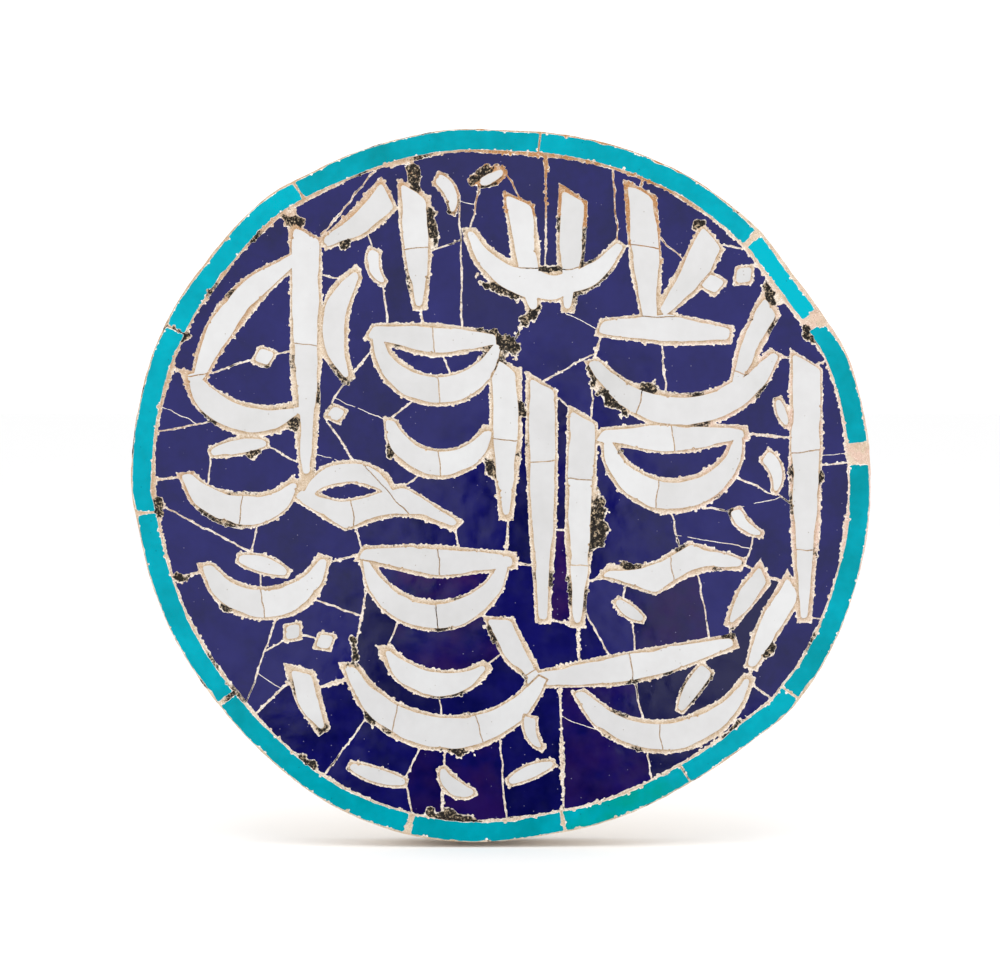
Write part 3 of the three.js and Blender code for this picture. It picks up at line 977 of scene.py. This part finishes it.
def plaster_material():
    """Sandy plaster, with dirt, rust, pink, cream and ochre where its points have their values, and painted
    shade in its pits and in the crevices along the cobalt.
    """
    m = Shader("plaster")
    sand = m.noise(1.0, 4, 0.75)
    coarse = m.noise(2.6, 3, 0.7)
    blotch = m.noise(14, 3, 0.6)
    colour = m.mix(m.spread(blotch, 0.35, 0.65), srgb(198, 172, 142), srgb(230, 212, 190))
    calm = m.mix(m.spread(m.noise(70, 4, 0.6), 0.38, 0.62), srgb(206, 184, 156), srgb(226, 208, 184))
    colour = m.mix(m.math("MULTIPLY", m.value("behind"), 0.75), colour, calm)
    for label, grain, low, high, tint in (
        ("pink", m.noise(9, 3), 0.35, 0.55, srgb(222, 190, 172)),
        ("by_white", coarse, 0.35, 0.55, srgb(174, 144, 106)),
        ("by_cobalt", coarse, 0.62, 0.46, srgb(249, 241, 231)),
        ("rust", m.noise(6, 3), 0.3, 0.5, srgb(182, 128, 76)),
    ):
        share = m.math("MULTIPLY", m.value(label), m.spread(grain, low, high))
        colour = m.mix(share, colour, tint)
    colour = m.mix(m.spread(sand, 0.54, 0.68), colour, srgb(158, 136, 112))
    colour = m.mix(m.spread(sand, 0.44, 0.34), colour, srgb(250, 243, 234))
    # Painted shade: dark specks stand for shade in small pits of the sand, and more of them along the
    # cobalt's edges stand for shade in the crevices there
    pits = m.math("ADD", m.noise(2.4, 4, 0.8), m.math("MULTIPLY", m.value("by_cobalt"), 0.08))
    colour = m.mix(m.spread(pits, 0.66, 0.7), colour, srgb(52, 44, 40))
    streaks = m.math("ADD", m.noise(3.2, 5, 0.75), m.math("MULTIPLY", m.value("dirt"), 0.42))
    grime = m.mix(m.spread(sand, 0.42, 0.66), srgb(9, 8, 10), srgb(62, 56, 52))
    grime = m.mix(m.spread(m.noise(1.9, 3, 0.7), 0.56, 0.62), grime, srgb(190, 168, 138))
    colour = m.mix(m.spread(streaks, 0.72, 0.82), colour, grime)
    normal = m.bump(sand, 0.5)
    return m.surface(Base_Color=colour, Roughness=0.92, Normal=normal, Specular_IOR_Level=0.25)


tan_body = body_material("bare_ceramic_tan", srgb(184, 152, 116), srgb(222, 200, 172), srgb(140, 112, 84))
# The pale body's near-black pits are painted shade: dark flecks of shadow along the chipped cobalt and
# turquoise edges
pale_body = body_material("bare_ceramic_pale", srgb(230, 214, 198), srgb(250, 243, 235), srgb(60, 50, 60))
plaster = plaster_material()
BODY_OF = {BORDER: pale_body, GROUND: pale_body, STROKE: tan_body}
GLAZE_OF = {BORDER: turquoise, GROUND: cobalt, STROKE: white}

# The tiles, and for each of their cut pieces a well in the bed that is deeper by WELL_GAP

WELL_GAP = 0.2
bed_places = [np.c_[flat, depth]]
bed_tris = [triangles[patch == IN_PLASTER]]
bed_count = len(flat)
tile_parts = {}
for k in patch_ids:
    mine = patch == k
    extra, sides = well(boundary_rings(triangles[mine]), TILE_DEPTH)
    tile_parts.setdefault(patch_owner[k], []).append((k, mine, extra, sides))
    floor = renumbered(sides, bed_count)
    bed_places.append(extra + (0, 0, WELL_GAP))
    bed_tris.append(floor[:, ::-1])
    bed_count += len(extra)

for mark, parts in sorted(tile_parts.items()):
    places, tris, slots = [np.c_[flat, depth]], [], []
    tones, hues = [np.zeros(len(flat))], [np.zeros(len(flat))]
    count = len(flat)
    for k, mine, extra, sides in parts:
        tris += [triangles[mine], renumbered(sides, count)]
        slots += [~glazed[mine], np.ones(len(sides))]
        places.append(extra)
        for values, value in ((tones, patch_tone[k]), (hues, patch_hue[k])):
            values[0][np.unique(triangles[mine])] = value
            values.append(np.full(len(extra), value))
        count += len(extra)
    part, node = tile_kind[mark], tile_names[mark]
    label = node + "_glazed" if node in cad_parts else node
    piece = mesh_piece(
        label, np.concatenate(places), np.concatenate(tris), np.concatenate(slots),
        [GLAZE_OF[part], BODY_OF[part]], tone=np.concatenate(tones), hue=np.concatenate(hues),
    )
    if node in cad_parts:
        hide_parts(node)

# The plaster bed, whose side goes back in rows of points

ROWS = [2.0, 5.0, 9.0, 14.0, 19.0, 25.0, 31.0, 37.0, 41.2]
COVERED_TO = TILE_DEPTH + 3
BACK_STEP, BACK_MARGIN = 11.0, 9
ring = max(boundary_rings(triangles), key=len)
ring_places = flat[ring]
outward = ring_places / np.linalg.norm(ring_places, axis=1)[:, None]
run = np.concatenate([[0], np.cumsum(np.linalg.norm(np.diff(ring_places, axis=0), axis=1))])
base_reach = rim_radius(*ring_places.T)
row_ids = [np.array(ring)]
for level in ROWS:
    lumps = 0.8 * lattice_noise(81, run, 1.2 * level, 9) + 0.35 * lattice_noise(82, run, level, 2.6)
    inset, lumpy = (1.6, 0.4) if level == ROWS[-1] else (0.9, 1)
    reach = base_reach - inset + lumps * lumpy
    if level < COVERED_TO:
        # The border tiles stay covered from the side
        reach = np.maximum(reach, base_reach - 0.6)
    bed_places.append(np.c_[outward * reach[:, None], np.full(len(ring), level)])
    row_ids.append(bed_count + np.arange(len(ring)))
    bed_count += len(ring)
for upper, lower in zip(row_ids, row_ids[1:]):
    u1, l1 = np.roll(upper, -1), np.roll(lower, -1)
    bed_tris += [np.c_[u1, upper, lower], np.c_[u1, lower, l1]]
back_ring = bed_places[-1][:, :2]
rng = np.random.default_rng(91)
back_x, back_z = scattered(rng, BACK_STEP, 4 / BACK_STEP)
keep = np.hypot(back_x, back_z) < rim_radius(back_x, back_z) - BACK_MARGIN
back, back_tris, ids = cut_up([back_ring], np.c_[back_x, back_z][keep])
back_tris = back_tris[[len(i) > 0 for i in ids]]
hollow = 0.5 + 0.5 * lattice_noise(92, *back.T, 40) + 0.25 * lattice_noise(93, *back.T, 12)
back_depth = np.where(np.arange(len(back)) < len(ring), ROWS[-1], FACE - np.clip(hollow, 0, 1.2))
first = len(back_ring)
back_ids = np.concatenate([row_ids[-1], bed_count + np.arange(len(back) - first)])
bed_places.append(np.c_[back[first:], back_depth[first:]])
bed_tris.append(back_ids[back_tris][:, ::-1])
bed_places, bed_tris = np.concatenate(bed_places), np.concatenate(bed_tris)

# What the plaster's material is told of each point: rust at the top and faint at the upper left, pink
# at the right, and how near the cobalt and the white are
FACE_DEPTH = 2
px, pz = bed_places[:, 0], bed_places[:, 1]
on_face = bed_places[:, 2] < FACE_DEPTH
in_front = np.clip((26 - bed_places[:, 2]) / 14, 0, 1)
edge = np.clip(1 - np.abs(shape) / 1.6, 0, 1)
dirt, by_cobalt, by_white = (
    np.where(on_face, at_grid(field, px, pz), 0)
    for field in (soot, edge * (kind == GROUND), edge * (kind == STROKE))
)
turn = np.degrees(np.arctan2(pz, px))
radius = np.hypot(px, pz)
stained = np.clip(2.4 - np.abs(turn - 77) / 12, 0, 1) * (radius > 225)
tinged = 0.5 * np.clip(2 - np.abs((turn + 45) % 360 - 180) / 40, 0, 1) * (radius > 250)
rust = in_front * np.maximum(stained, tinged)
pink = in_front * np.clip((px - 120) / 60, 0, 1) * np.clip(1.5 - np.abs(pz - 40) / 130, 0, 1)
bed = mesh_piece(
    "plaster_bed_sanded", bed_places, bed_tris, np.zeros(len(bed_tris)), [plaster],
    dirt=dirt, rust=rust, pink=pink, by_cobalt=by_cobalt, by_white=by_white, behind=1 - in_front,
)
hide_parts("plaster_bed")

# Floor, light and camera

FLOOR_GAP = 0.0045
DARK_ROOM, BRIGHT_ROOM, BACKDROP = 0.0, 1.1, 1.12
# The height of the dark part of the room, over its distance in front of the panel
LOWEST, LOW_STEP, HIGH_STEP = -0.172, -0.118, -0.034

bpy.ops.mesh.primitive_plane_add(size=14, location=(0, 1.0, CAD_LOW[2] - FLOOR_GAP))
floor = bpy.context.object
floor.name = "studio_floor"
m = Shader("studio_floor")
floor.data.materials.append(m.surface(Base_Color=(0.9, 0.9, 0.9, 1), Roughness=0.9, Specular_IOR_Level=0.1))
floor.visible_glossy = False

world = bpy.data.worlds.new("studio")
world.use_nodes = True
sky = Nodes(world.node_tree)
sky.tree.nodes.clear()
towards = sky.add("SeparateXYZ", i0=sky.add("TexCoord").outputs["Generated"]).outputs
ahead = sky.math("MAXIMUM", sky.math("MULTIPLY", towards["Y"], -1), 0.05)
aside, above = sky.math("DIVIDE", towards["X"], ahead), sky.math("DIVIDE", towards["Z"], ahead)
place = sky.add("CombineXYZ", X=aside, Y=above, Z=0.0).outputs[0]
ripple = sky.noise(22, 3, 0.6, place)


def raised(left, right, top, soft=0.004):
    """How much the dark part of the room is raised from LOWEST to top between two sides."""
    between = sky.math(
        "MULTIPLY", sky.ramp(aside, left - soft, left + soft), sky.ramp(aside, right + soft, right - soft)
    )
    return sky.math("MULTIPLY", between, top - LOWEST)


# The glaze mirrors a made-up room that is dark below. The dark rises in two steps in front of the panel.
horizon = sky.math("MAXIMUM", raised(-0.064, 0.05, LOW_STEP), raised(-0.018, 0.036, HIGH_STEP))
horizon = sky.math("ADD", sky.math("ADD", horizon, LOWEST), sky.spread(ripple, 0.3, 0.7, -0.012, 0.012))
over = sky.math("SUBTRACT", above, horizon)
light = sky.spread(over, -0.006, 0.006, DARK_ROOM, BRIGHT_ROOM)
seen = sky.add("LightPath").outputs["Is Camera Ray"]
strength = sky.add("Mix", {"data_type": "FLOAT"}, i0=seen, i2=light, i3=BACKDROP).outputs[0]
shine = sky.add("Background", Color=(1, 1, 1, 1), Strength=strength)
sky.add("OutputWorld", Surface=shine.outputs[0])
bpy.context.scene.world = world
bpy.context.scene.view_settings.view_transform = "Standard"

SOFTBOX_WIDTH, SOFTBOX_DEPTH, SOFTBOX_POWER = 2.4, 1.6, 30
SOFTBOX_PLACE = (0.0, -0.7, 2.3)
lamp = bpy.data.lights.new("softbox", "AREA")
lamp.shape = "RECTANGLE"
lamp.size, lamp.size_y, lamp.energy = SOFTBOX_WIDTH, SOFTBOX_DEPTH, SOFTBOX_POWER
softbox = bpy.data.objects.new("softbox", lamp)
softbox.location = SOFTBOX_PLACE
softbox.visible_glossy = False
bpy.context.collection.objects.link(softbox)

ELEVATION = math.radians(4)
DISTANCE = 2.256
TARGET = Vector((-0.001, -FACE / 1000, 0.006))
camera = bpy.data.cameras.new("camera")
camera.lens, camera.sensor_width = 100, 36
view = bpy.data.objects.new("camera", camera)
view.location = TARGET + Vector((0, -math.cos(ELEVATION), math.sin(ELEVATION))) * DISTANCE
view.rotation_euler = (math.pi / 2 - ELEVATION, 0, 0)
bpy.context.collection.objects.link(view)
bpy.context.scene.camera = view
